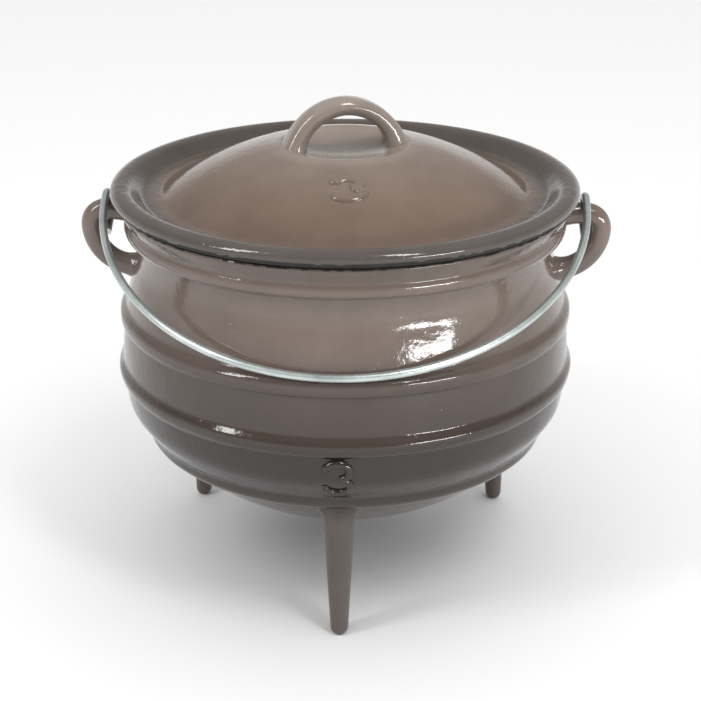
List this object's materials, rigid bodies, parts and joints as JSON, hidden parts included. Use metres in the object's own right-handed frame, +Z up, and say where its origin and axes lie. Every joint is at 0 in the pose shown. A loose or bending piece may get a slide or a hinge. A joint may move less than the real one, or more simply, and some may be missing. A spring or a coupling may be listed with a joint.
{
  "type": "potjie pot",
  "caption": "Three-legged cast iron cooking pot with hooped belly, wire bail in cast ears, and a domed lid with coal channel and arched handle.",
  "frame": {"origin": "on the pot's axis, at floor level between the feet", "axes": "+X toward the right ear, -Y toward the front leg and the resting bail, +Z up"},
  "size_m": [0.3116, 0.272, 0.284],
  "materials": {
    "pot_enamel": "gloss taupe enamel over rough casting",
    "lid_enamel": "gloss taupe enamel over rough casting",
    "bail_wire": "zinc-plated wire"
  },
  "bodies": {
    "pot": {"pot": "pot_enamel", "lid": "lid_enamel"},
    "bail": {"bail": "bail_wire"}
  },
  "joints": [
    {"name": "bail_swing", "type": "hinge", "parent": "pot", "child": "bail", "pos_m": [0, 0, 0.2165], "axis": [-1, 0, 0], "range_deg": [0, 218]}
  ]
}
